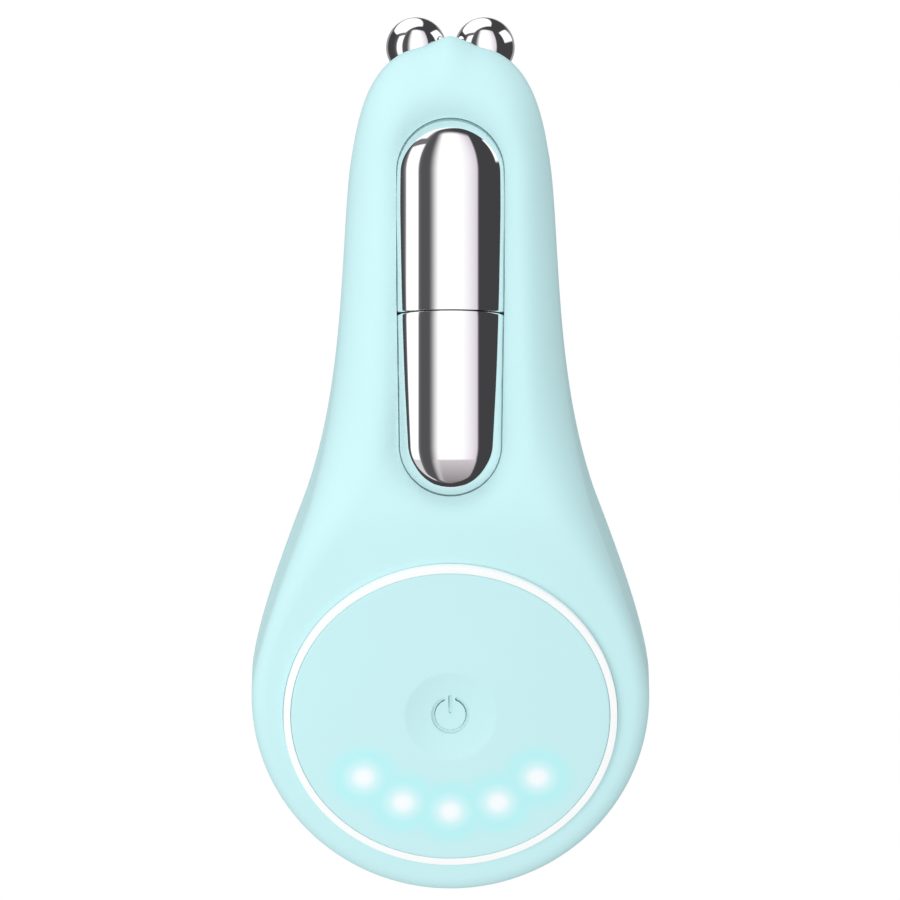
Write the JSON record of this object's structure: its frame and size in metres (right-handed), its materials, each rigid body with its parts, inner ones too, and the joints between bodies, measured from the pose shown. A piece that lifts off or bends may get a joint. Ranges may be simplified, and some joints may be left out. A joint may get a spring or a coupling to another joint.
{
  "type": "facial toning device",
  "caption": "Hand-held facial toning device: round body with a lit push disc, chrome neck electrodes in two halves and a pair of ball electrodes at the tip.",
  "frame": {"origin": "on the flat back, under the middle of the length and width", "axes": "+Y from the round base to the ball electrodes, +Z from the flat back to the front face, +X across the width"},
  "size_m": [0.057, 0.1264, 0.0282],
  "materials": {
    "housing": "pale mint soft-touch plastic, fine even texture",
    "disc": "pale mint soft-touch plastic, lamps shine through it",
    "seal": "soft mint rubber",
    "diffuser": "milky white diffuser",
    "white_plastic": "white moulded plastic",
    "black_plastic": "black component plastic",
    "carrier_plastic": "dark moulded plastic",
    "circuit_board": "green solder mask",
    "lamp": "clear lamp bodies",
    "electrode_chrome": "polished plating",
    "ball_chrome": "mirror polish",
    "steel": "plain steel",
    "brass": "bright brass",
    "flex_film": "amber film with copper traces",
    "cell_foil": "foil pouch",
    "foam": "black foam rubber",
    "red_lead": "insulated lead",
    "black_lead": "insulated lead",
    "blue_lead": "insulated lead",
    "yellow_lead": "insulated lead"
  },
  "bodies": {
    "body": {"front_shell": "housing", "back_shell": "housing", "shell_gasket": "seal", "light_ring": "diffuser", "lamp_baffle": "white_plastic", "face_board": "circuit_board", "level_lamps": "lamp", "ring_lamps": "lamp", "tact_switch": "black_plastic", "face_board_parts": "black_plastic", "board_screws": "steel", "upper_electrode": "electrode_chrome", "lower_electrode": "electrode_chrome", "electrode_carrier": "carrier_plastic", "driver_board": "circuit_board", "driver_parts": "black_plastic", "contact_pins": "brass", "flex_cable": "flex_film", "ball_left": "ball_chrome", "ball_right": "ball_chrome", "ball_holder": "carrier_plastic", "ball_nuts": "steel", "battery_cell": "cell_foil", "battery_pad": "foam", "battery_leads": "red_lead", "charge_board": "circuit_board", "charge_socket": "steel", "charge_leads": "black_lead", "motor_can": "steel", "motor_sleeve": "foam", "motor_leads": "blue_lead", "ball_leads": "yellow_lead", "shell_screws": "steel", "screw_plugs": "seal"},
    "button": {"push_disc": "disc", "switch_stem": "white_plastic"},
    "rotor": {"motor_shaft": "steel", "motor_weight": "brass"}
  },
  "joints": [
    {"name": "disc_press", "type": "slide", "parent": "body", "child": "button", "axis": [0, 0.2521, -0.9677], "range_m": [0, 0.00035], "stiffness_N_per_m": 5000},
    {"name": "motor_spin", "type": "hinge", "parent": "body", "child": "rotor", "pos_m": [0, 0.025, 0.0064], "axis": [0, 1, 0], "continuous": true}
  ]
}
